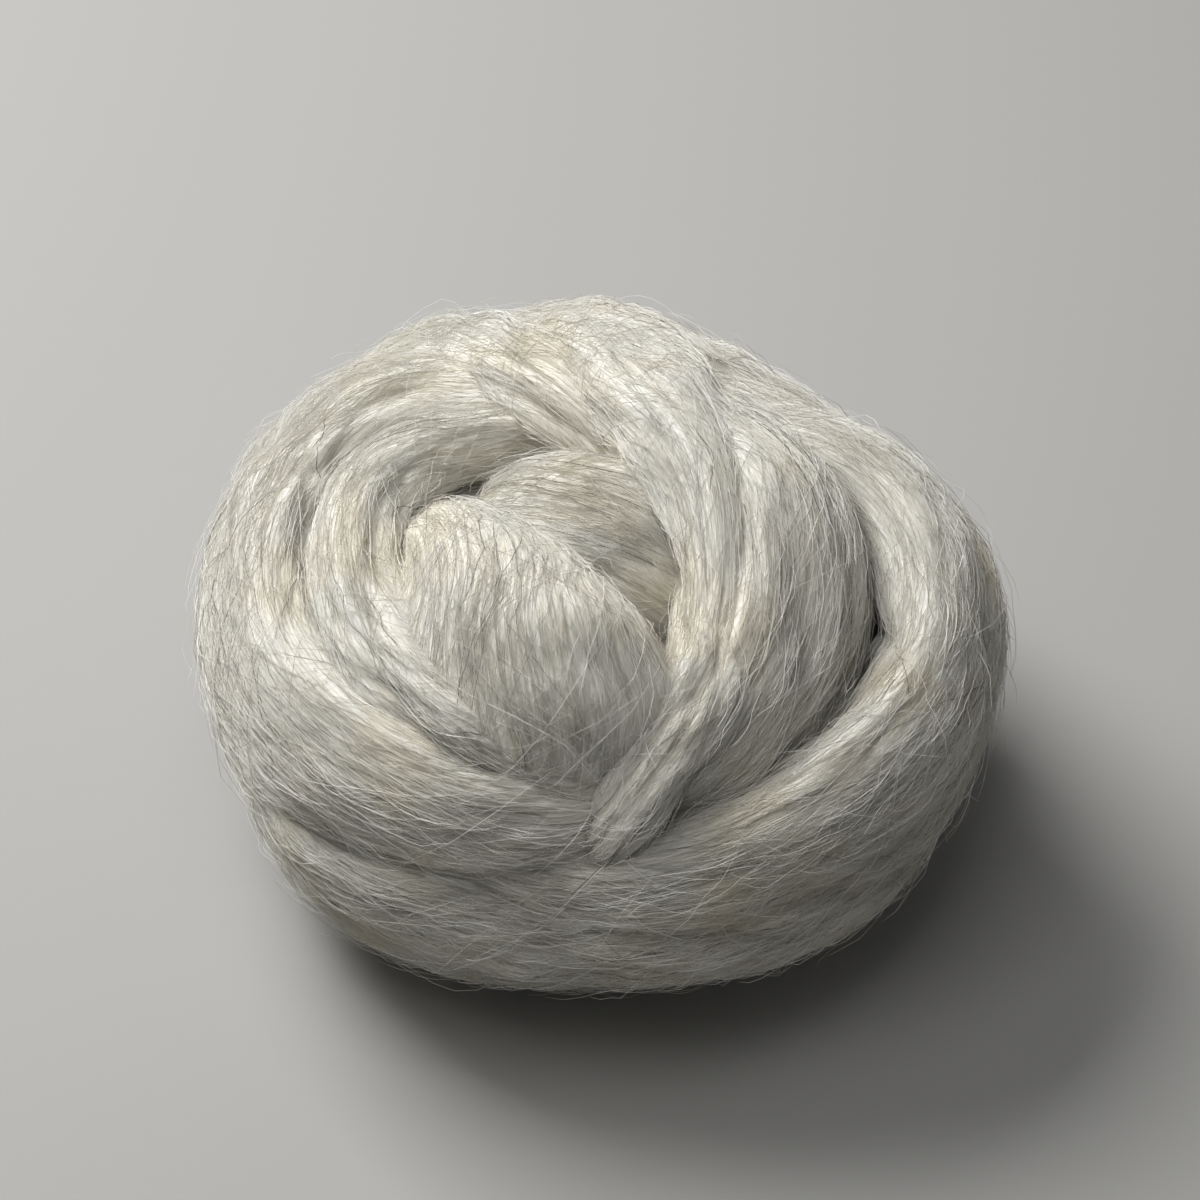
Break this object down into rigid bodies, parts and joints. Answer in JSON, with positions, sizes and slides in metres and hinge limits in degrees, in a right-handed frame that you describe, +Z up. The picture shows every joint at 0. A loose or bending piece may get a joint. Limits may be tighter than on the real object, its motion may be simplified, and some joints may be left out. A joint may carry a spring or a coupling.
{
  "type": "ball of wool roving",
  "caption": "Hand-wound nest of thick, untwisted wool roving: broad soft turns wrapped round an open, swirled middle, with a small flat spot to rest on.",
  "frame": {"origin": "middle of the ball's footprint, in the plane of the flat spot that it rests on", "axes": "+Z up; the open top of the winding leans towards -Y, which is the front; +X is the ball's longest side"},
  "size_m": [0.1466, 0.1375, 0.1022],
  "materials": {
    "wool": "undyed combed wool, creamy white with scattered grey fibres, matt and hairy"
  },
  "bodies": {
    "root": {"roving_ball": "wool"}
  },
  "joints": []
}
